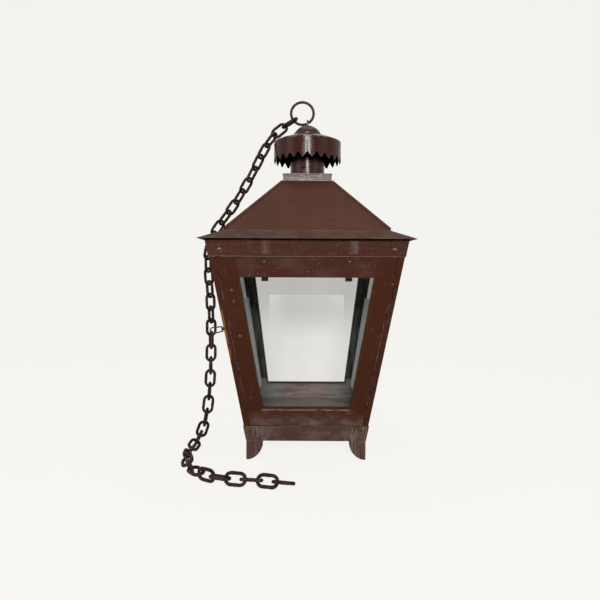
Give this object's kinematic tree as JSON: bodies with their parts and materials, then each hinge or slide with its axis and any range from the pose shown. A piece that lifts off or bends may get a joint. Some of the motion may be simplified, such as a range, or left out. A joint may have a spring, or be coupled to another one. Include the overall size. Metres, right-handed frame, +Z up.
{
  "type": "hanging lantern",
  "caption": "Tapered square sheet-metal hanging lantern with glazed hinged door, hipped roof, toothed vent crown, ring, latch loop and chain.",
  "frame": {"origin": "centre of the footprint at the bottom of the feet", "axes": "+Z up, -Y is the front with the door, +X is to the viewer's right"},
  "size_m": [0.3613, 0.3914, 0.61],
  "materials": {
    "case_paint": "brushed semi-matt brown paint, worn at the edges",
    "roof_paint": "flat brown paint, weathered",
    "crown_paint": "semi-gloss brown paint, rubbed to grey",
    "clear_glass": "clear window glass, slightly dusty",
    "chain_iron": "dark rusty iron",
    "ring_iron": "dark rusty iron",
    "latch_wire": "rusty brown wire",
    "dark_clip": "black painted strip",
    "pan_metal": "dull grey-green dusty metal"
  },
  "bodies": {
    "case": {"corner_post_front_left": "case_paint", "corner_post_front_right": "case_paint", "corner_post_back_right": "case_paint", "corner_post_back_left": "case_paint", "header_band": "case_paint", "base_band": "case_paint", "floor_pan": "pan_metal", "right_frame": "case_paint", "back_frame": "case_paint", "left_frame": "case_paint", "right_glass": "clear_glass", "back_glass": "clear_glass", "left_glass": "clear_glass", "pane_clips": "dark_clip", "foot_front_left": "case_paint", "foot_front_right": "case_paint", "foot_back_right": "case_paint", "foot_back_left": "case_paint", "eave_skirt": "roof_paint", "roof_shell": "roof_paint", "hip_rolls": "roof_paint", "vent_collar": "crown_paint", "chimney": "crown_paint", "crown_band": "crown_paint", "crown_lid": "crown_paint", "crown_straps": "crown_paint", "finial_dome": "crown_paint", "ring_lug": "crown_paint", "header_rivets": "case_paint", "case_hinge_leaves": "case_paint", "hinge_pins": "dark_clip", "latch_eye": "latch_wire", "chain_upper": "chain_iron", "chain_drop": "chain_iron", "chain_floor": "chain_iron"},
    "door": {"door_frame": "case_paint", "door_glass": "clear_glass", "door_clips": "dark_clip", "door_rivets": "case_paint", "door_hinge_leaves": "case_paint"},
    "ring": {"hanging_ring": "ring_iron"},
    "latch": {"latch_loop": "latch_wire"}
  },
  "joints": [
    {"name": "door_hinge", "type": "hinge", "parent": "case", "child": "door", "pos_m": [0.1059, -0.11355, 0.11243], "axis": [0.174, -0.174, 0.9693], "range_deg": [0, 75]},
    {"name": "ring_swing", "type": "hinge", "parent": "case", "child": "ring", "pos_m": [0, 0, 0.56976], "axis": [1, 0, 0], "range_deg": [-12, 12]},
    {"name": "latch_swing", "type": "hinge", "parent": "case", "child": "latch", "pos_m": [-0.13033, -0.13033, 0.214], "axis": [-0.174, -0.174, 0.9693], "range_deg": [0, 170]}
  ]
}
